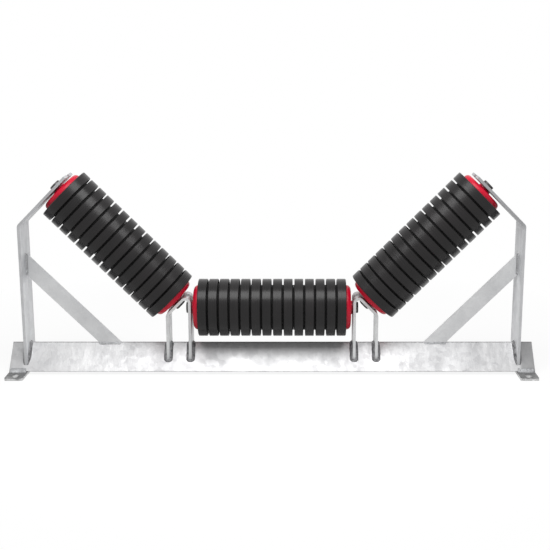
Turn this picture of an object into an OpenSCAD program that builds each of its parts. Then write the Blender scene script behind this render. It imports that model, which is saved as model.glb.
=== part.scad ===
// Troughing impact idler set: three rubber-ringed rolls on a welded, galvanised frame.
// X runs across the belt, Y along the belt, Z up. The origin is on the floor under the middle of the frame.

/* [Rolls] */
// Outside diameter of the rubber rings
tread_d = 127; // [121:1:131]
// Rubber rings on each roll
ring_count = 14; // [10:1:16]
// Width of a ring at its tread
tread_w = 19.5; // [17:0.5:21]
// Open gap between two treads
ring_gap = 4; // [3:0.5:6]
// Seam between the hubs of two rings
ring_seam = 0.2; // [0.1:0.05:0.4]
// Diameter of a ring's hub, at the bottom of the gap
ring_hub_d = 100; // [97:1:106]
// Chamfer on the tread's edges
tread_chamfer = 1; // [0.5:0.1:1.6]
// Outside diameter of the steel shell that carries the rings
shell_d = 89; // [87:0.5:91]
// Wall of the shell
shell_wall = 4; // [3:0.5:5]
// How far the shell stands out of the last ring
shell_stub = 6; // [4:0.5:7]

/* [Shafts] */
// Diameter of the fixed shaft
shaft_d = 25; // [24:0.5:26]
// Width across the two flats that drop into a bracket, inboard of the shaft's round head
shaft_flat_w = 18; // [16:0.5:20]
// How far the shaft stands out past its bracket
shaft_stub = 6; // [4:0.5:7]
// Chamfer on the shaft's ends
shaft_chamfer = 1; // [0.5:0.1:1.5]
// Mouth of the turning centre in the shaft's end
centre_hole_d = 6.3; // [4:0.1:8]
// From the last ring to the face of the bracket
bracket_gap = 16; // [15.5:0.5:19]
// End play between the shaft's shoulder and the bracket
end_play = 0.5; // [0.2:0.1:0.8]

/* [Bearings] */
// Outside diameter of the ball bearing
bearing_d = 52; // [50:0.5:53]
// Width of the bearing
bearing_w = 15; // [14:0.5:16]
// From the last ring's face in to the bearing's outer side
bearing_inset = 6.5; // [6.5:0.1:8]
// Diameter of a ball
ball_d = 7.9; // [7:0.1:8.2]
// Balls in a bearing
ball_count = 9; // [7:1:9]
// Radial gap between the shoulders of the two races
race_gap = 4.6; // [4.2:0.1:5]
// Radial thickness of the ball cage
cage_t = 2.2; // [1.8:0.1:2.6]
// Width of the ball cage
cage_w = 11; // [10.5:0.1:12]
// Clearance of a ball in its raceway and its pocket
ball_play = 0.16; // [0.14:0.01:0.2]
// Wall of the pressed bearing housing
housing_wall = 3; // [2.5:0.1:3.4]
// Depth of the housing's rim inside the shell
housing_rim = 12; // [8:0.5:16]
// From the last ring's face in to the housing's rim
housing_setback = 0.5; // [0.3:0.1:1]
// Hole in the housing's inner wall
housing_eye_d = 33; // [30:0.5:36]

/* [End caps and seals] */
// Diameter of the end cap at the last ring
cap_d = 99; // [96:0.5:104]
// How far the end cap stands out of the last ring
cap_reach = 11; // [10:0.5:12.5]
// Corner radius of the end cap
cap_corner = 9.5; // [5:0.5:9.5]
// Bore of the end cap
cap_bore_d = 58; // [56.5:0.5:60]
// Wall of the lip round the end cap's bore
cap_lip = 2.5; // [2:0.1:3]
// Depth of the dished ring in the end cap's face
cap_dish = 1.5; // [1:0.1:2]
// Wall of a labyrinth finger
finger_t = 1.5; // [1.2:0.1:1.7]
// Radial gap between labyrinth fingers
finger_gap = 1.2; // [1:0.1:1.3]
// Wall of the labyrinth's discs
seal_wall = 2; // [1.6:0.1:2.4]
// Axial gap between the two halves of the labyrinth
seal_gap = 1.2; // [0.8:0.1:1.5]
// Outside diameter of the dust boot on the shaft
boot_d = 30; // [28.5:0.5:33]
// Gap between the boot and the bracket
boot_gap = 1.2; // [0.8:0.1:1.8]
// How far the collar at the boot's root stands above the boot
collar_rise = 2; // [1.5:0.1:3]
// Width of that collar
collar_w = 1.5; // [1:0.1:2]
// Wire width of the circlip
circlip_w = 1.3; // [1.1:0.1:1.5]
// Depth of the circlip's groove in the shaft
circlip_groove = 0.9; // [0.6:0.1:1.1]
// How far the circlip stands above the shaft
circlip_rise = 2.5; // [2:0.1:3]
// Gap between the bearing and the circlip
circlip_play = 0.2; // [0.1:0.05:0.3]
// Gap between the circlip and the labyrinth's inner disc
seal_play = 0.5; // [0.3:0.1:0.7]

/* [Base] */
// Leg of the inverted angle
angle_leg = 75; // [70:1:80]
// Thickness of the inverted angle
angle_t = 6; // [5:0.5:8]
// Fillet inside the angle's corner
angle_root_r = 9; // [6:0.5:10]
// Rounding of the angle's toes
angle_toe_r = 4; // [3:0.5:4.5]
// How far the angle runs past the wing brackets
base_overhang = 35.5; // [32:0.5:44]
// Width of a foot plate
foot_w = 40; // [34:1:44]
// Length of a foot plate along the belt
foot_l = 198; // [186:1:206]
// Thickness of a foot plate
foot_t = 6; // [5:0.5:8]
// Corner radius of a foot plate
foot_corner = 4; // [2:0.5:6]
// Width of a bolt slot
bolt_slot_w = 14; // [12:0.5:16]
// Length of a bolt slot, end to end
bolt_slot_l = 24; // [20:1:28]
// Distance between a foot's two slots
bolt_spacing = 162; // [156:1:166]

/* [Brackets] */
// Angle of the wing rolls above the horizontal
trough_angle = 45; // [40:1:50]
// Thickness of the bent bars
plate_t = 6; // [5:0.5:7]
// Width of the wing brackets
wing_bracket_w = 85; // [75:1:90]
// Width of the centre brackets
centre_bracket_w = 67; // [58:1:70]
// Gap between the centre roll and the base's ridge
ridge_gap = 15.5; // [14:0.5:26]
// From a centre bracket's sharp corner to each of its two shafts
seat_drop = 38.5; // [38:0.5:42]
// From a wing roll's inner shaft down to the bend of the bracket's outer leg
leg_drop = 31; // [26:1:32]
// From a wing roll's outer shaft down to the bend of the wing bracket
wing_drop = 112; // [105:1:125]
// From a wing roll's outer shaft up to the bracket's tip
tip_rise = 35; // [28:1:40]
// Bend radius at the middle of the bar, at the top of a centre bracket
crown_r = 9; // [8:0.5:11]
// Bend radius at the middle of the bar, elsewhere
bend_r = 9; // [7:0.5:12]
// Clearance of the shaft's flats in a bracket's slot
slot_play = 0.3; // [0.2:0.05:0.5]

/* [Braces and welds] */
// Width of a brace
brace_w = 35; // [30:1:44]
// Thickness of a brace
brace_t = 5; // [4:0.5:6]
// Angle of a brace above the horizontal
brace_angle = 45; // [42:1:48]
// Height above the ridge at which a brace's middle meets the bracket
brace_height = 178; // [165:1:185]
// Leg of the weld beads at the brackets
bracket_weld = 7; // [5:0.5:8]
// Leg of the weld beads at the braces
brace_weld = 4; // [3:0.5:5]
// Reach of the weld beads along the feet
foot_weld = 7; // [5:0.5:9]

/* [Hidden] */
$fn = 96;

past = 1;      // how far a cut runs past the face it goes through
ease = 0.02;   // how far a curved or slanted cut stands off a face that it would otherwise share
far = 400;     // longer than any bar that it trims

// Roll, measured along its own axis from its middle
ring_pitch = tread_w + ring_gap;
roll_half = (ring_count * ring_pitch - ring_gap) / 2;
shell_r = shell_d / 2;
shell_bore_r = shell_r - shell_wall;
bracket_face = roll_half + bracket_gap;
seat_line = bracket_face + plate_t / 2;
shaft_end = bracket_face + plate_t + shaft_stub;
shaft_r = shaft_d / 2;

// Bearing and housing, measured from the roll's middle out to one end
bearing_out = roll_half - bearing_inset;
bearing_in = bearing_out - bearing_w;
bearing_r = bearing_d / 2;
ball_r = ball_d / 2;
ball_circle = (bearing_r + shaft_r) / 2;
race_r = ball_r + ball_play;
inner_race_r = ball_circle - race_gap / 2;
outer_race_r = ball_circle + race_gap / 2;
housing_end = roll_half - housing_setback;

// Seals
circlip_start = bearing_out + circlip_play;
circlip_r = shaft_r + circlip_rise;
inner_disc = circlip_start + circlip_w + seal_play;
outer_disc = roll_half + cap_reach - cap_dish - 2 * seal_wall;
finger_step = finger_t + finger_gap;
boot_start = outer_disc + seal_wall;

// Frame
ridge_z = foot_t + (angle_leg + angle_t) / sqrt(2) - angle_toe_r * (sqrt(2) - 1);
centre_z = ridge_z + ridge_gap + tread_d / 2;
down_slope = [sin(trough_angle), -cos(trough_angle)];
up_axis = [cos(trough_angle), sin(trough_angle)];
crown = [seat_line, centre_z + seat_drop];
inner_seat = crown + seat_drop * down_slope;
leg_bend = inner_seat + leg_drop * down_slope;
wing_centre = inner_seat + seat_line * up_axis;
outer_seat = wing_centre + seat_line * up_axis;
wing_bend = outer_seat + wing_drop * down_slope;
wing_tip = outer_seat - tip_rise * down_slope;
base_half = wing_bend[0] + base_overhang;
foot_x = base_half - foot_w / 2;
slot_w = shaft_flat_w + 2 * slot_play;
side_room = 1.5 * plate_t;   // half the depth of a slot's cut, which runs right through the plate
inner_rest = inner_seat + shaft_r * down_slope;
outer_rest = outer_seat + shaft_r * down_slope;
brace_top = [wing_bend[0] - plate_t / 2, ridge_z + brace_height];
brace_foot_x = brace_top[0] - brace_height / tan(brace_angle);

RUBBER = [0.13, 0.13, 0.13];
CAP_RED = [0.78, 0.05, 0.09];
ZINC = [0.78, 0.79, 0.80];
BEAD = [0.62, 0.63, 0.64];
STEEL = [0.70, 0.70, 0.72];
BEARING = [0.82, 0.82, 0.84];
SEAL = [0.60, 0.06, 0.08];
SHELL = [0.30, 0.30, 0.32];

// Turns an outline of [radius, distance along X] points into a solid round the X axis.
module turned(outline) {
    rotate([0, 90, 0]) rotate_extrude() polygon(outline);
}

// A ring round the X axis, as wide as from and to, between two radii.
module ring(inner_r, outer_r, from, to) {
    turned([[inner_r, from], [outer_r, from], [outer_r, to], [inner_r, to]]);
}

// The same piece at both ends of a roll.
module both_ends() {
    children();
    mirror([1, 0, 0]) children();
}

// Puts a piece made in a roll's own frame, with its axis along X, in the frame of the set.
module at_roll(name) {
    if (name == "centre") translate([0, 0, centre_z]) children();
    if (name == "right")
        translate([wing_centre[0], 0, wing_centre[1]]) rotate([0, -trough_angle, 0]) children();
    if (name == "left")
        translate([-wing_centre[0], 0, wing_centre[1]]) rotate([0, trough_angle, 0]) children();
}

module mirrored(side) {
    if (side == "right") children();
    if (side == "left") mirror([1, 0, 0]) children();
}

// ---- Rolls ----

module rubber_ring(index) {
    from = index * ring_pitch - roll_half;
    to = from + tread_w;
    overhang = (ring_gap - ring_seam) / 2;
    hub_from = from - (index > 0 ? overhang : 0);
    hub_to = to + (index < ring_count - 1 ? overhang : 0);
    tread_r = tread_d / 2;
    edge_r = tread_r - tread_chamfer;
    difference() {
        union() {
            ring(shell_r - past, ring_hub_d / 2, hub_from, hub_to);
            turned([
                [shell_r - past, from], [edge_r, from], [tread_r, from + tread_chamfer],
                [tread_r, to - tread_chamfer], [edge_r, to], [shell_r - past, to]]);
        }
        ring(0, shell_r, hub_from - past, hub_to + past);
    }
}

module rubber_rings() {
    color(RUBBER) for (index = [0:ring_count - 1]) rubber_ring(index);
}

module shell() {
    color(SHELL) ring(shell_bore_r, shell_r, -roll_half - shell_stub, roll_half + shell_stub);
}

// Moulded cap: a skirt over the shell's end, a rounded face with a shallow dish, and a lip round the bore.
module end_cap() {
    cap_r = cap_d / 2;
    bore_r = cap_bore_d / 2;
    face = roll_half + cap_reach;
    round_r = cap_r - cap_corner;
    rotate([0, 90, 0]) rotate_extrude() difference() {
        union() {
            translate([bore_r, roll_half]) square([round_r - bore_r, cap_reach]);
            translate([bore_r, roll_half]) square([cap_r - bore_r, cap_reach - cap_corner]);
            intersection() {
                translate([round_r, face - cap_corner]) circle(cap_corner);
                translate([bore_r, roll_half]) square([cap_r - bore_r, cap_reach]);
            }
        }
        translate([bore_r + cap_lip, roll_half - past])
            square([shell_r - bore_r - cap_lip, shell_stub + past]);
        translate([bore_r + 2 * cap_lip, face - cap_dish])
            square([round_r - bore_r - 3 * cap_lip, cap_dish + past]);
    }
}

module end_caps() {
    color(CAP_RED) both_ends() end_cap();
}

// Pressed cup that holds the bearing, with a web and a rim out to the shell.
module bearing_housing() {
    seat_r = bearing_r + housing_wall;
    rim_r = shell_bore_r - housing_wall;
    ring(housing_eye_d / 2, seat_r, bearing_in - housing_wall, bearing_in);
    ring(bearing_r, seat_r, bearing_in, housing_end);
    ring(seat_r, rim_r, housing_end - housing_wall, housing_end);
    ring(rim_r, shell_bore_r, housing_end - housing_rim, housing_end);
}

module bearing_housings() {
    color(SHELL) both_ends() bearing_housing();
}

module raceway() {
    translate([bearing_in + bearing_w / 2, 0, 0]) rotate([0, 90, 0])
        rotate_extrude() translate([ball_circle, 0]) circle(race_r);
}

module outer_races() {
    color(BEARING) both_ends() difference() {
        ring(outer_race_r, bearing_r, bearing_in, bearing_out);
        raceway();
    }
}

module inner_races() {
    color(BEARING) both_ends() difference() {
        ring(shaft_r, inner_race_r, bearing_in, bearing_out);
        raceway();
    }
}

module ball_circle_of(radius) {
    for (index = [0:ball_count - 1])
        translate([bearing_in + bearing_w / 2, 0, 0]) rotate([index * 360 / ball_count, 0, 0])
            translate([0, 0, ball_circle]) sphere(radius);
}

module balls() {
    color(BEARING) both_ends() ball_circle_of(ball_r);
}

module ball_cages() {
    middle = bearing_in + bearing_w / 2;
    color(STEEL) both_ends() difference() {
        ring(ball_circle - cage_t / 2, ball_circle + cage_t / 2, middle - cage_w / 2, middle + cage_w / 2);
        ball_circle_of(race_r);
    }
}

// Labyrinth half that turns with the roll: a disc in the housing's bore with two fingers.
module rotating_seal() {
    bore_r = circlip_r + finger_gap;
    tip = outer_disc - seal_gap;
    ring(bore_r, bearing_r, inner_disc, inner_disc + seal_wall);
    ring(bearing_r - finger_t, bearing_r, inner_disc + seal_wall, tip);
    ring(bearing_r - 2 * finger_step - finger_t, bearing_r - 2 * finger_step, inner_disc + seal_wall, tip);
}

module rotating_seals() {
    color(SEAL) both_ends() rotating_seal();
}

// Labyrinth half fixed on the shaft: a sleeve, an outer disc and one finger between the other two.
module shaft_seal() {
    finger_r = bearing_r - finger_step;
    rear = inner_disc + seal_wall + seal_gap;
    ring(shaft_r, bearing_r, outer_disc, outer_disc + seal_wall);
    ring(finger_r - finger_t, finger_r, rear, outer_disc);
    ring(shaft_r, shaft_r + finger_t, rear, outer_disc);
}

module shaft_seals() {
    color(SEAL) both_ends() shaft_seal();
}

// Boot with a thin collar at its root, which keeps dust off the labyrinth.
module dust_boots() {
    collar_r = boot_d / 2 + collar_rise;
    color(SEAL) both_ends() {
        ring(shaft_r, boot_d / 2, boot_start, bracket_face - boot_gap);
        ring(boot_d / 2, collar_r, boot_start, boot_start + collar_w);
    }
}

// Open ring in the shaft's groove, outboard of the bearing.
module circlips() {
    color(STEEL) both_ends() difference() {
        ring(shaft_r - circlip_groove, circlip_r, circlip_start, circlip_start + circlip_w);
        translate([circlip_start - past, -circlip_r / 3, 0])
            cube([circlip_w + 2 * past, 2 * circlip_r / 3, 2 * circlip_r]);
    }
}

module shaft() {
    flat_from = bracket_face - end_play;
    color(STEEL) difference() {
        turned([
            [0, -shaft_end], [shaft_r - shaft_chamfer, -shaft_end], [shaft_r, shaft_chamfer - shaft_end],
            [shaft_r, shaft_end - shaft_chamfer], [shaft_r - shaft_chamfer, shaft_end], [0, shaft_end]]);
        both_ends() {
            for (side = [-1, 1])
                translate([flat_from, side * (shaft_flat_w / 2 + shaft_r) - shaft_r, -shaft_d])
                    cube([plate_t + 2 * end_play, shaft_d, 2 * shaft_d]);
            ring(shaft_r - circlip_groove, shaft_d, circlip_start, circlip_start + circlip_w);
            turned([
                [0, shaft_end - centre_hole_d],
                [centre_hole_d / 2, shaft_end + ease], [0, shaft_end + ease]]);
        }
    }
}

// ---- Frame ----

// A bar along the line from a to b, both [x, z], as an outline in the XZ plane.
module straight(a, b) {
    run = b - a;
    translate(a) rotate(atan2(run[1], run[0])) translate([0, -plate_t / 2]) square([norm(run), plate_t]);
}

// The centre of a bend of that radius at a corner, between the lines to a and to b.
function bend_centre(a, corner, b, radius) = let(
    to_a = (a - corner) / norm(a - corner),
    to_b = (b - corner) / norm(b - corner),
    half_angle = acos(to_a * to_b) / 2)
    corner + (to_a + to_b) / norm(to_a + to_b) * radius / sin(half_angle);

// Where a bend with that centre leaves the line from its corner to a.
function bend_end(a, corner, centre) = let(
    to_a = (a - corner) / norm(a - corner)) corner + to_a * ((centre - corner) * to_a);

// Extrudes an outline in the XZ plane to a bar of that width, centred on Y.
module bar(width) {
    translate([0, width / 2, 0]) rotate([90, 0, 0]) linear_extrude(width) children();
}

// The wedge of a bend, from its centre out past the corner, between the ends of its two flats.
module bend_wedge(a, corner, b, centre) {
    polygon([
        centre, 2 * bend_end(a, corner, centre) - centre, 2 * corner - centre,
        2 * bend_end(b, corner, centre) - centre]);
}

// A bar bent along a path of [x, z] points, with a bend of the given radius at each inner point.
module bent_bar(width, path, radii) {
    bends = [1:len(path) - 2];
    centres = [for (i = bends) bend_centre(path[i - 1], path[i], path[i + 1], radii[i - 1])];
    difference() {
        union() {
            for (i = [1:len(path) - 1]) bar(width) straight(path[i - 1], path[i]);
            for (i = bends) bar(width) intersection() {
                bend_wedge(path[i - 1], path[i], path[i + 1], centres[i - 1]);
                translate(centres[i - 1]) difference() {
                    circle(radii[i - 1] + plate_t);
                    circle(radii[i - 1] - plate_t / 2 + ease);
                }
            }
        }
        for (i = bends) bar(width + 2 * past) difference() {
            bend_wedge(path[i - 1], path[i], path[i + 1], centres[i - 1]);
            translate(centres[i - 1]) circle(radii[i - 1] + plate_t / 2 + ease);
        }
    }
}

// Everything at or under the two outer faces of the inverted angle.
module under_ridge() {
    rotate([90, 0, 90]) translate([0, 0, -far * 2]) linear_extrude(far * 4)
        polygon([[0, ridge_z], [far, ridge_z - far], [-far, ridge_z - far]]);
}

module base_angle() {
    color(ZINC) rotate([90, 0, 90]) translate([0, ridge_z, -base_half]) linear_extrude(2 * base_half)
        rotate(-135) difference() {
            union() {
                square([angle_leg, angle_t]);
                square([angle_t, angle_leg]);
                difference() {
                    square(angle_t + angle_root_r);
                    translate([1, 1] * (angle_t + angle_root_r)) circle(angle_root_r);
                }
            }
            for (turn = [0, 1]) mirror([turn, -turn]) translate([angle_leg, angle_t] - [1, 1] * angle_toe_r)
                difference() {
                    square(angle_toe_r + past);
                    circle(angle_toe_r);
                }
        }
}

module foot_plate(side) {
    color(ZINC) translate([(side == "right" ? 1 : -1) * foot_x, 0, 0]) difference() {
        linear_extrude(foot_t) union() {
            square([foot_w, foot_l - 2 * foot_corner], center = true);
            square([foot_w - 2 * foot_corner, foot_l], center = true);
            for (x = [-1, 1]) for (y = [-1, 1])
                translate([x * (foot_w / 2 - foot_corner), y * (foot_l / 2 - foot_corner)])
                    circle(foot_corner);
        }
        for (y = [-1, 1]) translate([0, y * bolt_spacing / 2, -past]) {
            half = (bolt_slot_l - bolt_slot_w) / 2;
            translate([-bolt_slot_w / 2, -half, 0]) cube([bolt_slot_w, 2 * half, foot_t + 2 * past]);
            for (end = [-half, half]) translate([0, end, 0]) cylinder(d = bolt_slot_w, h = foot_t + 2 * past);
        }
    }
}

// Outer bracket: an upright bar that saddles the ridge and leans in square to the wing roll.
module wing_bracket(side) {
    color(ZINC) mirrored(side) difference() {
        bent_bar(wing_bracket_w, [[wing_bend[0], 0], wing_bend, wing_tip], [bend_r]);
        under_ridge();
        bar(slot_w) polygon([
            outer_rest - side_room * up_axis, outer_rest + side_room * up_axis,
            wing_tip + side_room * up_axis - past * down_slope,
            wing_tip - side_room * up_axis - past * down_slope]);
    }
}

// Inner bracket: one bar bent to a crown, which carries the centre roll on its upright leg and the wing roll
// on its sloping one. The slot runs over the crown from one shaft to the other.
module centre_bracket(side) {
    color(ZINC) mirrored(side) difference() {
        bent_bar(centre_bracket_w, [[crown[0], 0], crown, leg_bend, [leg_bend[0], 0]], [crown_r, bend_r]);
        under_ridge();
        bar(slot_w) polygon([
            [crown[0] - side_room, centre_z - shaft_r], [crown[0] + side_room, centre_z - shaft_r],
            inner_rest - side_room * up_axis, inner_rest + side_room * up_axis,
            crown + side_room * up_axis, crown - [side_room, 0]]);
    }
}

// Flat bar on edge from the ridge up to the inner face of the wing bracket.
module brace(side) {
    run = [cos(brace_angle), sin(brace_angle)];
    color(ZINC) mirrored(side) difference() {
        bar(brace_t) translate([brace_foot_x, ridge_z]) rotate(brace_angle)
            translate([-2 * brace_w, -brace_w / 2]) square([brace_height / run[1] + 4 * brace_w, brace_w]);
        under_ridge();
        translate([brace_top[0], -far, -far]) cube(2 * far);
    }
}

// ---- Welds ----

// A bead with a three-cornered section along both slopes of the ridge, beside a bar's face at x = 0.
module saddle_bead(width) {
    reach = width / 2 * sqrt(2);
    for (turn = [0, 1]) mirror([0, turn, 0]) intersection() {
        translate([0, 0, ridge_z]) rotate([45, 0, 0]) translate([0, bracket_weld * 2, 0]) rotate([90, 0, 0])
            linear_extrude(reach + bracket_weld * 2) polygon([[0, 0], [bracket_weld, 0], [0, bracket_weld]]);
        translate([-past, -width, 0]) cube([bracket_weld + 2 * past, width, 2 * ridge_z]);
    }
}

module leg_beads(x, width) {
    for (turn = [0, 1]) translate([x, 0, 0]) mirror([turn, 0, 0]) translate([plate_t / 2, 0, 0])
        saddle_bead(width);
}

module wing_bracket_welds() {
    color(BEAD) both_ends() leg_beads(wing_bend[0], wing_bracket_w);
}

module centre_bracket_welds() {
    color(BEAD) both_ends() {
        leg_beads(crown[0], centre_bracket_w);
        leg_beads(leg_bend[0], centre_bracket_w);
    }
}

// Beads up both faces of a brace at the bracket, and along both faces at the ridge.
module brace_welds() {
    cut = brace_w / sin(brace_angle);
    rise = brace_w / cos(brace_angle);
    color(BEAD) both_ends() for (turn = [0, 1]) mirror([0, turn, 0]) {
        translate([brace_top[0], -brace_t / 2, brace_top[1] - rise / 2]) linear_extrude(rise)
            polygon([[0, 0], [-brace_weld, 0], [0, -brace_weld]]);
        difference() {
            translate([brace_foot_x - cut / 2, -brace_t / 2, ridge_z - brace_t / 2]) rotate([90, 0, 90])
                linear_extrude(cut) polygon([
                    [0, brace_weld / 2], [-brace_weld, -brace_weld - past], [0, -brace_weld - past]]);
            under_ridge();
        }
    }
}

// Beads between the angle's toes and the feet.
module foot_welds() {
    toe_y = angle_leg / sqrt(2);
    toe_z = ridge_z - toe_y;
    rise = foot_weld / sqrt(2);
    color(BEAD) both_ends() for (turn = [0, 1]) mirror([0, turn, 0]) difference() {
        translate([foot_x - foot_w / 2, 0, 0]) rotate([90, 0, 90]) linear_extrude(foot_w)
            polygon([[-toe_y - rise, foot_t], [rise - toe_y, toe_z + rise], [rise - toe_y, foot_t]]);
        base_angle();
    }
}

base_angle();
for (side = ["left", "right"]) {
    foot_plate(side);
    wing_bracket(side);
    centre_bracket(side);
    brace(side);
}
wing_bracket_welds();
centre_bracket_welds();
brace_welds();
foot_welds();
for (name = ["left", "centre", "right"]) {
    at_roll(name) shaft();
    at_roll(name) rubber_rings();
    at_roll(name) shell();
    at_roll(name) end_caps();
    at_roll(name) bearing_housings();
    at_roll(name) outer_races();
    at_roll(name) inner_races();
    at_roll(name) balls();
    at_roll(name) ball_cages();
    at_roll(name) rotating_seals();
    at_roll(name) shaft_seals();
    at_roll(name) circlips();
    at_roll(name) dust_boots();
}
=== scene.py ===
import math

import bpy
import numpy as np
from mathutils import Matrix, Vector


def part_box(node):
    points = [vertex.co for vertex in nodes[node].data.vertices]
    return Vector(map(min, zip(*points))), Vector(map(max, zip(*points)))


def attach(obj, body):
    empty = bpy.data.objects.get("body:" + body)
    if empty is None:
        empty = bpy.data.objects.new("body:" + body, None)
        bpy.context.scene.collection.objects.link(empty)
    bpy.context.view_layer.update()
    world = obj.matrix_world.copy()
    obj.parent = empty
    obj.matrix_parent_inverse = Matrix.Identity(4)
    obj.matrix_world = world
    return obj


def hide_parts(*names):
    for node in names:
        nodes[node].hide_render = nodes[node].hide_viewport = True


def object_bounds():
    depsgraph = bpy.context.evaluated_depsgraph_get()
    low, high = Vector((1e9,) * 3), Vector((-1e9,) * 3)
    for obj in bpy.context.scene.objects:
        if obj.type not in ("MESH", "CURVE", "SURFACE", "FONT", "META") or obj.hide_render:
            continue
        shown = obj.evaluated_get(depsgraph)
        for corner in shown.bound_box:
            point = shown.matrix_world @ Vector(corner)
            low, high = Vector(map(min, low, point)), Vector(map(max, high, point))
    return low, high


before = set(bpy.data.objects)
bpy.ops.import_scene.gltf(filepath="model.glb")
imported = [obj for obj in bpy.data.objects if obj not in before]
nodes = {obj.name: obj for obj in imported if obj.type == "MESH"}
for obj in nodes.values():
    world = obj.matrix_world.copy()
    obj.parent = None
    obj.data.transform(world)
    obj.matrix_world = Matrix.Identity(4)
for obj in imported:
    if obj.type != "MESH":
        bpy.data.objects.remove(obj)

cad_low, cad_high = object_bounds()


# ---- Camera ----
# The set is looked at square on to the belt's run, from a little above the rolls and a hand's breadth to the
# right, so that the front slope of the base shows and the wing rolls open towards the eye.
down_tilt = math.radians(13.5)

camera = bpy.data.objects.new("camera", bpy.data.cameras.new("camera"))
bpy.context.collection.objects.link(camera)
camera.location = (0.0554, -2.4488, 0.7121)
camera.rotation_euler = (math.pi / 2 - down_tilt, 0, 0)
camera.data.lens = 74.02
camera.data.shift_x = -0.0405
camera.data.shift_y = 0.0718
bpy.context.scene.camera = camera


# ---- Base: inverted angle and its two feet ----
# A length of hot-rolled angle laid ridge up, with a flat foot welded under each end. The whole frame is
# dipped in zinc after welding, which leaves pale patches, faint crystals and a soft, uneven shine. Shade is
# painted on it: a dark line along the ridge, a darkening towards the right end, and darker ends outside the
# uprights, the right one more.
def new_material(name):
    """A node material: returns the material, its tree and its Principled shader."""
    material = bpy.data.materials.new(name)
    material.use_nodes = True
    tree = material.node_tree
    return material, tree, tree.nodes["Principled BSDF"]


def add(tree, kind, values, **settings):
    """Adds one shader node. Each entry of values goes to the socket of that name, as a link or a constant."""
    made = tree.nodes.new("ShaderNode" + kind)
    for setting, value in settings.items():
        setattr(made, setting, value)
    for socket, value in values.items():
        if isinstance(value, bpy.types.NodeSocket):
            tree.links.new(value, made.inputs[socket])
        else:
            made.inputs[socket].default_value = value
    return made


def math_of(tree, operation, first, second=0.5):
    """One arithmetic step on two numbers or links. A root or a floor takes only the first."""
    return add(tree, "Math", {0: first, 1: second}, operation=operation).outputs[0]


def spread(tree, value, low, high, to_low, to_high):
    """Stretches a value from the range low..high to the range to_low..to_high, clamped."""
    sockets = {"Value": value, "From Min": low, "From Max": high, "To Min": to_low, "To Max": to_high}
    return add(tree, "MapRange", sockets).outputs["Result"]


def blend_colours(tree, share, first, second):
    """The first colour at share 0, the second at share 1. A colour is a link or three numbers."""
    made = add(tree, "Mix", {0: share}, data_type="RGBA")
    for index, colour in ((6, first), (7, second)):
        if isinstance(colour, bpy.types.NodeSocket):
            tree.links.new(colour, made.inputs[index])
        else:
            made.inputs[index].default_value = (*colour, 1)
    return made.outputs[2]


def placed(tree, centre=(0, 0, 0), turn_y=0, stretch=(1, 1, 1)):
    """Object coordinates measured from a centre, then turned about Y, then stretched."""
    coordinates = add(tree, "TexCoord", {}).outputs["Object"]
    moved = add(tree, "Mapping", {"Vector": coordinates, "Location": centre}, vector_type="TEXTURE")
    moved.inputs["Rotation"].default_value = (0, turn_y, 0)
    return add(tree, "Mapping", {"Vector": moved.outputs[0], "Scale": stretch}).outputs[0]


def noise(tree, where, scale, detail=3, roughness=0.5):
    """Fractal noise from 0 to 1 about a half. The scale is in features per metre, here and in each finish."""
    sockets = {"Vector": where, "Scale": scale, "Detail": detail, "Roughness": roughness}
    return add(tree, "TexNoise", sockets).outputs["Fac"]


def dress(finish, *names):
    """Puts one finish in every material slot of these nodes."""
    for name in names:
        for material_slot in nodes[name].material_slots:
            material_slot.material = finish


def zinc(name, pale, dull, shift, run=(1, 1, 1), crystal=85, spangle=0.22, ripple=0.5, metal=0.55, fades=()):
    """Hot-dip zinc: cells of crystals under broad cloudy patches and streaks along the run of the bar.
    The share of dull zinc is the patches plus the spangle share of the cells; dull places are also rougher.
    Each fade, an axis, two distances along it and a strength, darkens the zinc towards the second distance;
    on the base the fades are painted shade, elsewhere they are dull edges and darker bands."""
    fray_scale, patch_scale, swell_scale, grain_scale = 60, 9, 34, 420
    stain_and_shade_colour = tuple(0.35 * part for part in dull)
    material, tree, shader = new_material(name)
    here = placed(tree, centre=shift)
    along = placed(tree, centre=shift, stretch=run)
    wander = add(tree, "TexNoise", {"Vector": here, "Scale": fray_scale, "Detail": 2}).outputs["Color"]
    frayed = add(tree, "Mix", {0: 0.02, 4: here, 5: wander}, data_type="VECTOR").outputs[1]
    cells = add(tree, "TexVoronoi", {"Vector": frayed, "Scale": crystal})
    cell_tone = add(tree, "SeparateColor", {"Color": cells.outputs["Color"]}).outputs["Red"]
    patches = noise(tree, along, patch_scale, 5, 0.6)
    grain = noise(tree, here, grain_scale, 3, 0.7)
    cloudy = spread(tree, patches, 0.32, 0.7, 0, 0.7)
    dullness = math_of(tree, "ADD", cloudy, math_of(tree, "MULTIPLY", cell_tone, spangle))
    speckled = math_of(tree, "ADD", dullness, spread(tree, grain, 0.35, 0.65, -0.08, 0.08))
    colour = blend_colours(tree, speckled, pale, dull)
    # Each fade blends towards one darker colour, which stands for stains on some bars and for painted shade
    # on the base.
    for axis, clear, darker, strength in fades:
        at = add(tree, "SeparateXYZ", {"Vector": add(tree, "TexCoord", {}).outputs["Object"]}).outputs[axis]
        ragged = math_of(tree, "ADD", at, spread(tree, grain, 0.3, 0.7, -0.0006, 0.0006))
        colour = blend_colours(tree, spread(tree, ragged, clear, darker, 0, strength), colour, stain_and_shade_colour)
    tree.links.new(colour, shader.inputs["Base Color"])
    tree.links.new(spread(tree, speckled, 0, 1, 0.34, 0.56), shader.inputs["Roughness"])
    shader.inputs["Metallic"].default_value = metal
    swell = noise(tree, along, swell_scale, 2)
    relief = math_of(tree, "ADD", swell, math_of(tree, "MULTIPLY", grain, 0.12))
    height = math_of(tree, "ADD", relief, math_of(tree, "MULTIPLY", cell_tone, 0.06))
    bump = add(tree, "Bump", {"Height": height, "Strength": ripple, "Distance": 0.0012})
    tree.links.new(bump.outputs[0], shader.inputs["Normal"])
    return material


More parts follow.
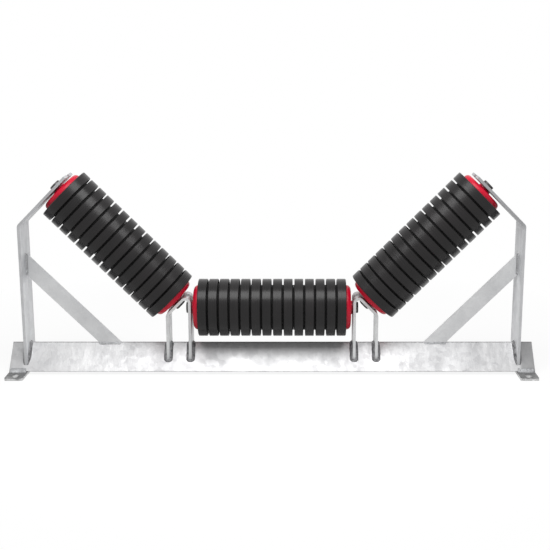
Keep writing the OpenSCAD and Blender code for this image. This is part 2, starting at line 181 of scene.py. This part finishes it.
base_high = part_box("base_angle")[1]
ridge = base_high.z
# Painted shade: a dark line along the ridge, a gradient darkening towards the right end, and the ends beyond
# the uprights darkened where the light falls off, the right one more.
ridge_painted_shade = ("Z", ridge - 0.0022, ridge - 0.0006, 0.75)
right_end_painted_shade = ("X", 0.547, 0.553, 0.62)
right_shade = ("X", 0.41, 0.52, 0.13)
left_end_painted_shade = ("X", -0.547, -0.553, 0.22)
base_zinc = zinc("zinc_base", (0.735, 0.735, 0.74), (0.50, 0.50, 0.51), (0.3, 0, 0), run=(2.4, 1.1, 1.1),
                 spangle=0.34, fades=(ridge_painted_shade, right_end_painted_shade, right_shade, left_end_painted_shade))
dress(base_zinc, "base_angle")

# Each foot is darker over its top face and the top of its edges.
top_band = ("Z", 0.0045, 0.0056, 0.75)
foot_zinc = zinc("zinc_feet", (0.98, 0.98, 0.98), (0.2, 0.2, 0.205), (0.1, 0.7, 0), run=(9, 9, 9), metal=0.3,
                 fades=(top_band,))
dress(foot_zinc, "foot_plate_left", "foot_plate_right")


# ---- Brackets and braces ----
# Flat bar, bent cold and notched over the ridge. The outer brackets and their braces take the load of the
# wing rolls; the centre brackets carry a shaft on each side of their crown. The outer brackets are dull along
# their edges and above the bend, the right one more.
bend_height = 0.32
edge_band, edge_skin = 0.0012, 0.0004
for side, offset, top_darkening in (("left", 0.21, 0.2), ("right", 0.87, 0.45)):
    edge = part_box("wing_bracket_" + side)[1].y
    front_edge = ("Y", edge_band - edge, edge_skin - edge, 0.3)
    back_edge = ("Y", edge - edge_band, edge - edge_skin, 0.3)
    above_bend = ("Z", bend_height, bend_height + 0.012, top_darkening)
    upright_zinc = zinc("zinc_upright_" + side, (0.82, 0.83, 0.845), (0.56, 0.565, 0.58), (offset, 0.2, 0),
                        run=(1.5, 1.5, 0.5), metal=0.5, fades=(back_edge, front_edge, above_bend))
    dress(upright_zinc, "wing_bracket_" + side)
    centre_zinc = zinc("zinc_centre_bracket_" + side, (0.78, 0.79, 0.79), (0.50, 0.505, 0.51),
                       (offset, 0.6, 0), run=(1.5, 1.5, 0.5), metal=0.5)
    dress(centre_zinc, "centre_bracket_" + side)
    brace_zinc = zinc("zinc_brace_" + side, (0.80, 0.805, 0.81), (0.60, 0.605, 0.615), (0, offset, 0.4),
                      metal=0.4)
    dress(brace_zinc, "brace_" + side)


# ---- Welds ----
# Fillet beads laid by hand before the dip: ripples that lag in the middle of the bead, rounded starts and
# drawn-out ends. The zinc on them is darker and more mottled than on the bars.
def carried_bead(path, one_leg, other_leg, reaches, tapers, seed, ripple=0.0032):
    """One bead along a path of evenly spaced points. Across it, the skin runs from one leg to the other as
    reach * cos(t) ** 1.45 and reach * sin(t) ** 1.45, for t from 0 to 90 degrees, and the corner between the
    legs is sunk a little. Along it, the reach swells by a tenth with each ripple, later in the middle than at
    the legs, wanders slowly, and dies away at each end over its taper as a quarter of an ellipse.
    Returns the points as stations by places round the section, and the sign of the section's turn."""
    fullness, sunk_by, knot_gap, wander = 1.45, 0.0004, 0.01, 0.09
    random = np.random.default_rng(seed)
    steps = np.linalg.norm(np.diff(path, axis=0), axis=1)
    run = np.concatenate([[0], np.cumsum(steps)])
    toward_start = np.clip(run / tapers[0], 0, 1)
    toward_end = np.clip((run[-1] - run) / tapers[1], 0, 1)
    size = np.sqrt(1 - (1 - toward_start) ** 2) * np.sqrt(1 - (1 - toward_end) ** 2)
    knots = np.arange(0, run[-1] + 2 * knot_gap, knot_gap)
    drift = np.interp(run, knots, random.uniform(-wander, wander, knots.size))
    turn = np.linspace(0, math.pi / 2, 9)
    beat = run[:, None] / ripple - 0.35 * np.sin(2 * turn)[None] + 2 * drift[:, None]
    swell = 1 + 0.1 * np.abs(np.sin(math.pi * beat)) + drift[:, None]
    reach = np.maximum(size, 0.04)[:, None] * swell
    along_one = reaches[0] * reach * np.cos(turn) ** fullness
    along_other = reaches[1] * reach * np.sin(turn) ** fullness
    skin = (path[:, None] + along_one[..., None] * one_leg[:, None]
            + along_other[..., None] * other_leg[:, None])
    sunk = path - sunk_by * (one_leg + other_leg)
    facing = np.einsum("ij,ij->i", np.cross(one_leg[:-1], other_leg[:-1]), np.diff(path, axis=0)).sum()
    return np.concatenate([skin, sunk[:, None]], axis=1), facing


def beads_in_place(name, beads, finish):
    """One closed mesh from several beads, each a tube of its stations with a face at either end."""
    points, faces, start = [], [], 0
    for bead, facing in beads:
        stations, places = bead.shape[:2]
        index = start + np.arange(stations * places).reshape(stations, places)
        after = np.roll(index, -1, axis=1)
        walls = np.stack([index[:-1], after[:-1], after[1:], index[1:]], axis=-1).reshape(-1, 4)
        ends = [index[0][::-1], index[-1]]
        if facing < 0:
            walls = walls[:, ::-1]
            ends = [end[::-1] for end in ends]
        faces += walls.tolist() + [end.tolist() for end in ends]
        points.append(bead.reshape(-1, 3))
        start += stations * places
    mesh = bpy.data.meshes.new(name)
    mesh.from_pydata(np.concatenate(points), [], faces)
    mesh.shade_smooth()
    mesh.materials.append(finish)
    made = bpy.data.objects.new(name, mesh)
    bpy.context.collection.objects.link(made)
    return made


def directions(rows, *vector):
    """The same direction at each of so many stations."""
    return np.tile(np.array(vector, float), (rows, 1))


plate = 0.006
half_root = math.sqrt(0.5)
bead_step = 0.0005
bead_gap = 0.001


def slope_bead(x, side, front, length, reaches, tapers, seed):
    """A straight bead down one slope of the base, in the corner between the slope and a bar's flat face. A
    step of 1 down the slope goes the root of a half down and as far out."""
    down = np.arange(bead_gap, length, bead_step)
    rows = down.size
    path = np.stack([np.full(rows, x), -front * half_root * down, ridge - half_root * down], axis=1)
    return carried_bead(path, directions(rows, side, 0, 0),
                        directions(rows, 0, -front * half_root, half_root), reaches, tapers, seed)


def looped_bead(x, front, length, reaches, seed):
    """A bead down one face of a leg, round its edge and up the other face. The heading turns a quarter circle
    at each corner of the edge, the place is the running sum of the heading, and the side on the bar is a
    quarter shorter across the edge."""
    corner = 0.0015
    straight, bend, across = length - corner, corner * math.pi / 2, plate - 2 * corner
    marks = np.cumsum([0, straight, bend, across, bend, straight - bead_gap])
    run = np.arange(bead_gap, marks[-1], bead_step)
    heading = np.interp(run, marks, [0, 0, math.pi / 2, math.pi / 2, math.pi, math.pi])
    down = bead_gap + np.cumsum(np.cos(heading)) * bead_step
    beside = x + plate / 2 - np.cumsum(np.sin(heading)) * bead_step
    path = np.stack([beside, -front * half_root * down, ridge - half_root * down], axis=1)
    narrowed = 1 - 0.25 * np.sin(heading)
    turned_out = np.stack([np.cos(heading), -front * half_root * np.sin(heading),
                           -half_root * np.sin(heading)], axis=1)
    upward = directions(run.size, 0, -front * half_root, half_root)
    return carried_bead(path, narrowed[:, None] * turned_out, upward, reaches, (0.003, 0.003), seed)


def brace_foot_bead(foot_line, side, front, half_bar, seed):
    """A small bead along the ridge, in the corner between a brace's face and the slope, from the brace's
    point towards the upright."""
    spots = foot_line + side * np.arange(0.0025, 0.052, bead_step)
    rows = spots.size
    path = np.stack([spots, np.full(rows, -front * half_bar), np.full(rows, ridge - half_bar)], axis=1)
    return carried_bead(path, directions(rows, 0, 0, 1), directions(rows, 0, -front * half_root, -half_root),
                        (0.0026, 0.0034), (0.004, 0.003), seed)


def brace_head_bead(inner_face, side, front, half_bar, top, seed):
    """A bead straight up the upright's inner face, beside the end of a brace."""
    heights = np.arange(top - 0.0485, top - 0.0005, bead_step)
    rows = heights.size
    path = np.stack([np.full(rows, inner_face), np.full(rows, -front * half_bar), heights], axis=1)
    return carried_bead(path, directions(rows, -side, 0, 0), directions(rows, 0, -front, 0),
                        (0.0042, 0.0042), (0.004, 0.004), seed)


def foot_bead(start, end, front, top, seed):
    """A bead across a foot plate, along the toe of the base. Its upper leg leans back with the toe, 36 in and
    93 up, and its root stands 2 mm in from the toe."""
    spots = np.arange(start + bead_gap, end - bead_gap, bead_step)
    rows = spots.size
    path = np.stack([spots, np.full(rows, -front * (base_high.y - 0.002)), np.full(rows, top)], axis=1)
    return carried_bead(path, directions(rows, 0, -front, 0), directions(rows, 0, front * 0.36, 0.93),
                        (0.0062, 0.0078), (0.003, 0.003), seed)


bead_zinc = zinc("zinc_beads", (0.42, 0.42, 0.43), (0.03, 0.03, 0.033), (0.4, 0.1, 0.2), run=(14, 14, 14),
                 crystal=300, ripple=0.9, metal=0.6)
light_bead_zinc = zinc("zinc_light_beads", (0.55, 0.56, 0.57), (0.25, 0.25, 0.26), (0.2, 0.1, 0.6),
                       run=(10, 10, 10), crystal=300, ripple=0.9, metal=0.5)

wing_beads, centre_beads, brace_beads, foot_beads = [], [], [], []
for mark, (side, end) in enumerate(((-1, "left"), (1, "right"))):
    wing_low, wing_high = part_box("wing_bracket_" + end)
    upright = side * (max(-wing_low.x, wing_high.x) - plate / 2)
    centre_low, centre_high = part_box("centre_bracket_" + end)
    brace_low, brace_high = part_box("brace_" + end)
    foot_low, foot_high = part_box("foot_plate_" + end)
    for front in (1, -1):
        # Each bead's wander has a seed from its end, its slope and its kind.
        seed = 40 + 20 * mark + 5 * front
        for face in (-1, 1):
            wing_beads.append(slope_bead(upright + face * plate / 2, face, front, wing_high.y / half_root,
                                         (0.0055, 0.0065), (0.004, 0.03), seed + face))
        for leg in (centre_low.x + plate / 2, centre_high.x - plate / 2):
            centre_beads.append(looped_bead(leg, front, centre_high.y / half_root, (0.0062, 0.0055),
                                            seed + int(1000 * leg) % 7))
        foot_line = brace_low.x if side > 0 else brace_high.x
        brace_beads.append(brace_foot_bead(foot_line, side, front, brace_high.y, seed + 2))
        inner_face = upright - side * plate / 2
        brace_beads.append(brace_head_bead(inner_face, side, front, brace_high.y, brace_high.z, seed + 3))
        foot_beads.append(foot_bead(foot_low.x, foot_high.x, front, foot_high.z, seed + 4))

for place, beads, finish in (("wing_bracket", wing_beads, bead_zinc),
                             ("centre_bracket", centre_beads, bead_zinc),
                             ("brace", brace_beads, light_bead_zinc),
                             ("foot", foot_beads, light_bead_zinc)):
    made = beads_in_place(place + "_beads", beads, finish)
    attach(made, "frame")
    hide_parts(place + "_welds")


# ---- Shafts and circlips ----
# Bright drawn bar, turned at the ends and milled with two flats that drop into the bracket's slot. It is left
# bare and oiled, so it has gone dark.
roll_names = ("left", "centre", "right")
roll_centre = {}
for roll in roll_names:
    shell_low, shell_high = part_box(roll + "_shell")
    roll_centre[roll] = tuple((shell_low + shell_high) / 2)
shaft_low, shaft_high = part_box("right_shaft")
wing_angle = math.atan2(shaft_high.z - shaft_low.z, shaft_high.x - shaft_low.x)
roll_turn = {"left": wing_angle, "centre": 0, "right": -wing_angle}


def turned_metal(name, roll, colour, darker, shine):
    """Metal turned on a lathe: fine rings round the roll's axis, which is X here, over a slow stain. The wave
    texture makes a ring each pi / (10 * scale) metres, and the rings stand 1.767 mm apart."""
    stain_scale, groove_scale = 30, math.pi / 10 / 0.001767
    material, tree, shader = new_material(name)
    here = placed(tree, roll_centre[roll], roll_turn[roll])
    stain = noise(tree, here, stain_scale, 4, 0.6)
    around = add(tree, "TexWave", {"Vector": here, "Scale": groove_scale, "Distortion": 0.6, "Detail": 2},
                 wave_type="RINGS", rings_direction="X").outputs["Fac"]
    tree.links.new(blend_colours(tree, spread(tree, stain, 0.35, 0.7, 0, 1), colour, darker),
                   shader.inputs["Base Color"])
    rough = math_of(tree, "ADD", spread(tree, stain, 0.3, 0.7, shine, shine + 0.2),
                    math_of(tree, "MULTIPLY", around, 0.06))
    tree.links.new(rough, shader.inputs["Roughness"])
    shader.inputs["Metallic"].default_value = 1
    bump = add(tree, "Bump", {"Height": around, "Strength": 0.15, "Distance": 0.0002})
    tree.links.new(bump.outputs[0], shader.inputs["Normal"])
    return material


for roll in roll_names:
    shaft_steel = turned_metal("shaft_steel_" + roll, roll, (0.1, 0.095, 0.095), (0.045, 0.04, 0.04), 0.34)
    dress(shaft_steel, roll + "_shaft", roll + "_circlips")


# ---- Bearings ----
# Deep-groove ball bearings, one at each end of a roll: hardened races and balls, ground bright, and a cage
# pressed from sheet steel. The outer race turns with the roll, and the inner one stands on the shaft.
for roll in roll_names:
    race_steel = turned_metal("race_steel_" + roll, roll, (0.62, 0.62, 0.64), (0.5, 0.49, 0.47), 0.12)
    dress(race_steel, roll + "_outer_races", roll + "_inner_races", roll + "_balls")
    cage_steel = turned_metal("cage_steel_" + roll, roll, (0.42, 0.42, 0.43), (0.3, 0.3, 0.3), 0.3)
    dress(cage_steel, roll + "_ball_cages")


# ---- Shells and bearing housings ----
# A welded steel tube under the rubber, with a cup pressed from sheet in each end to hold the bearing. Both
# are in dark primer.
for roll in roll_names:
    shell_paint = turned_metal("shell_paint_" + roll, roll, (0.09, 0.09, 0.1), (0.05, 0.05, 0.05), 0.45)
    dress(shell_paint, roll + "_shell", roll + "_bearing_housings")


# ---- Seals, boots and end caps ----
# The labyrinth and the end cap are moulded in the same red nylon: a smooth skin with a soft gloss, duller
# where dust has settled in the dish. The boot is a softer red, painted brighter than the cap as painted light
# that lifts it out of the shade between the cap and the bracket.
def moulded(name, roll, colour, dusty, shine):
    """Moulded plastic: an even colour with a slow change of tone, an orange-peel skin and a thin gloss."""
    dust_scale, skin_scale = 22, 700
    material, tree, shader = new_material(name)
    here = placed(tree, roll_centre[roll], roll_turn[roll])
    tone = noise(tree, here, dust_scale, 4, 0.55)
    tree.links.new(blend_colours(tree, spread(tree, tone, 0.35, 0.75, 0, 1), colour, dusty),
                   shader.inputs["Base Color"])
    tree.links.new(spread(tree, tone, 0.3, 0.7, shine, shine + 0.12), shader.inputs["Roughness"])
    shader.inputs["Specular IOR Level"].default_value = 0.3
    skin = noise(tree, here, skin_scale, 2)
    bump = add(tree, "Bump", {"Height": skin, "Strength": 0.12, "Distance": 0.0003})
    tree.links.new(bump.outputs[0], shader.inputs["Normal"])
    return material


for roll in roll_names:
    red_nylon = moulded("red_nylon_" + roll, roll, (0.74, 0.005, 0.037), (0.58, 0.005, 0.028), 0.3)
    dress(red_nylon, roll + "_end_caps", roll + "_shaft_seals", roll + "_rotating_seals")
    # Painted light: the boot's red is lighter than the cap's so that it looks lit in the shade between the
    # cap and the bracket.
    boot_red_painted_light = moulded("boot_red_painted_light_" + roll, roll, (0.92, 0.014, 0.075), (0.8, 0.014, 0.06), 0.36)
    dress(boot_red_painted_light, roll + "_dust_boots")


# ---- Rubber rings ----
# Moulded rings pushed side by side on the shell. The tread is ground round after fitting, which leaves fine
# lines round it and a grey bloom; the gaps stay unground and are painted black as shade in them.
tread_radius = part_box("centre_rubber_rings")[1].y
ring_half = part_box("centre_rubber_rings")[1].x
ring_count, ring_gap = 14, 0.004
ring_pitch = (2 * ring_half + ring_gap) / ring_count
ring_batch = {"left": 3, "centre": 40, "right": 75}


def tyre_rubber(name, roll):
    """Black rubber with grinding lines: a noise on the distance along the roll only, so that each line runs
    right round, over a slow change of tone and a step of tone from each ring to the next. A ring's number is
    the whole part of its distance from the first ring's end over the pitch. The lines tint the bloom, the
    gloss and a faint relief. Below the tread, by the distance from the roll's axis, the sides of the gaps are
    unground and dull, and painted dead black as shade in the gaps."""
    line_scale, mottle_scale, grit_scale = 650, 16, 900
    # Painted shade: the gap colour is darker than the bloomed tread, for the shade in the gaps between rings.
    gap_black_and_shade = (0.004, 0.004, 0.0042)
    ground_dark, ground_pale = (0.003, 0.003, 0.0032), (0.0155, 0.0132, 0.014)
    material, tree, shader = new_material(name)
    here = placed(tree, roll_centre[roll], roll_turn[roll])
    parts = add(tree, "SeparateXYZ", {"Vector": here})
    lines = add(tree, "TexNoise",
                {"W": parts.outputs["X"], "Scale": line_scale, "Detail": 3, "Roughness": 0.7},
                noise_dimensions="1D").outputs["Fac"]
    tone = noise(tree, here, mottle_scale, 5, 0.65)
    from_end = math_of(tree, "ADD", parts.outputs["X"], ring_half)
    ring = math_of(tree, "FLOOR", math_of(tree, "DIVIDE", from_end, ring_pitch))
    batch = add(tree, "TexWhiteNoise", {"W": math_of(tree, "ADD", ring, ring_batch[roll])},
                noise_dimensions="1D").outputs["Value"]
    mottled = math_of(tree, "ADD", spread(tree, tone, 0.35, 0.7, 0, 0.45),
                      math_of(tree, "MULTIPLY", batch, 0.3))
    bloom = math_of(tree, "ADD", mottled, spread(tree, lines, 0.36, 0.64, -0.1, 0.5))
    across = math_of(tree, "ADD", math_of(tree, "POWER", parts.outputs["Y"], 2.0),
                     math_of(tree, "POWER", parts.outputs["Z"], 2.0))
    depth = spread(tree, math_of(tree, "SQRT", across), tread_radius - 0.003, tread_radius - 0.0012, 1, 0)
    ground = blend_colours(tree, bloom, ground_dark, ground_pale)
    tree.links.new(blend_colours(tree, depth, ground, gap_black_and_shade), shader.inputs["Base Color"])
    gloss = spread(tree, bloom, 0, 1, 0.18, 0.36)
    rough = math_of(tree, "ADD", gloss, math_of(tree, "MULTIPLY", depth, 0.3))
    tree.links.new(rough, shader.inputs["Roughness"])
    shader.inputs["Specular IOR Level"].default_value = 0.3
    grit = noise(tree, here, grit_scale, 2)
    height = math_of(tree, "ADD", lines, math_of(tree, "MULTIPLY", grit, 0.4))
    bump = add(tree, "Bump", {"Height": height, "Strength": 0.3, "Distance": 0.0004})
    tree.links.new(bump.outputs[0], shader.inputs["Normal"])
    return material


for roll in roll_names:
    dress(tyre_rubber("rubber_" + roll, roll), roll + "_rubber_rings")


# ---- Room ----
# A pale floor with no end, a white surround, and one broad soft box above the set and a little in front of
# it, shorter than the base, so that the light dies away at both ends.
def seen_directly(tree):
    """1 where the eye, a reflection or a see-through ray meets the surface, 0 where it only gives light."""
    path = add(tree, "LightPath", {})
    mirrored = math_of(tree, "MAXIMUM", path.outputs["Is Camera Ray"], path.outputs["Is Glossy Ray"])
    return math_of(tree, "MAXIMUM", mirrored, path.outputs["Is Transmission Ray"])


half_floor, floor_height = 30, -0.0005
floor_mesh = bpy.data.meshes.new("floor")
corners = [(x * half_floor, y * half_floor, floor_height) for x, y in ((-1, -1), (1, -1), (1, 1), (-1, 1))]
floor_mesh.from_pydata(corners, [], [(0, 1, 2, 3)])
floor = bpy.data.objects.new("floor", floor_mesh)
bpy.context.collection.objects.link(floor)

# Near the set the floor shows its shadow, and further off it fades to the white of the surround.
fade_start, fade_end = 0.45, 1.15
floor_paint = bpy.data.materials.new("floor_paint")
floor_paint.use_nodes = True
paint_tree = floor_paint.node_tree
paint_tree.nodes.remove(paint_tree.nodes["Principled BSDF"])
lit = add(paint_tree, "BsdfDiffuse", {"Color": (0.8, 0.8, 0.8, 1)})
near = add(paint_tree, "AddShader", {
    0: add(paint_tree, "BsdfDiffuse", {"Color": (0.2, 0.2, 0.2, 1)}).outputs[0],
    1: add(paint_tree, "Emission", {"Color": (1, 1, 1, 1), "Strength": 0.86}).outputs[0]})
far = add(paint_tree, "Emission", {"Color": (1, 1, 1, 1), "Strength": 1.0})
from_middle = add(paint_tree, "TexCoord", {}).outputs["Object"]
away = add(paint_tree, "VectorMath", {0: from_middle}, operation="LENGTH").outputs["Value"]
faded = spread(paint_tree, away, fade_start, fade_end, 0, 1)
shown = add(paint_tree, "MixShader", {0: faded, 1: near.outputs[0], 2: far.outputs[0]})
either = add(paint_tree, "MixShader", {0: seen_directly(paint_tree), 1: lit.outputs[0], 2: shown.outputs[0]})
paint_tree.links.new(either.outputs[0], paint_tree.nodes["Material Output"].inputs["Surface"])
floor_mesh.materials.append(floor_paint)

world = bpy.data.worlds.new("surround")
bpy.context.scene.world = world
world.use_nodes = True
sky = world.node_tree
background = sky.nodes["Background"]
background.inputs["Color"].default_value = (1, 1, 1, 1)
sky.links.new(spread(sky, seen_directly(sky), 0, 1, 0.35, 1), background.inputs["Strength"])

# The box's power is pi x area x radiance.
box_elevation, box_distance = math.radians(61), 1.0
box_width, box_depth, box_radiance = 0.98, 0.6, 4.75
soft_box = bpy.data.objects.new("box_overhead", bpy.data.lights.new("box_overhead", "AREA"))
bpy.context.collection.objects.link(soft_box)
soft_box.data.shape = "RECTANGLE"
soft_box.data.size, soft_box.data.size_y = box_width, box_depth
soft_box.data.energy = math.pi * box_width * box_depth * box_radiance
towards_box = Vector((0, -math.cos(box_elevation), math.sin(box_elevation)))
soft_box.location = Vector((0, 0, cad_high.z / 2)) + box_distance * towards_box
soft_box.rotation_euler = (-towards_box).to_track_quat("-Z", "Y").to_euler()
soft_box.visible_camera = False
bpy.context.scene.view_settings.view_transform = "Standard"
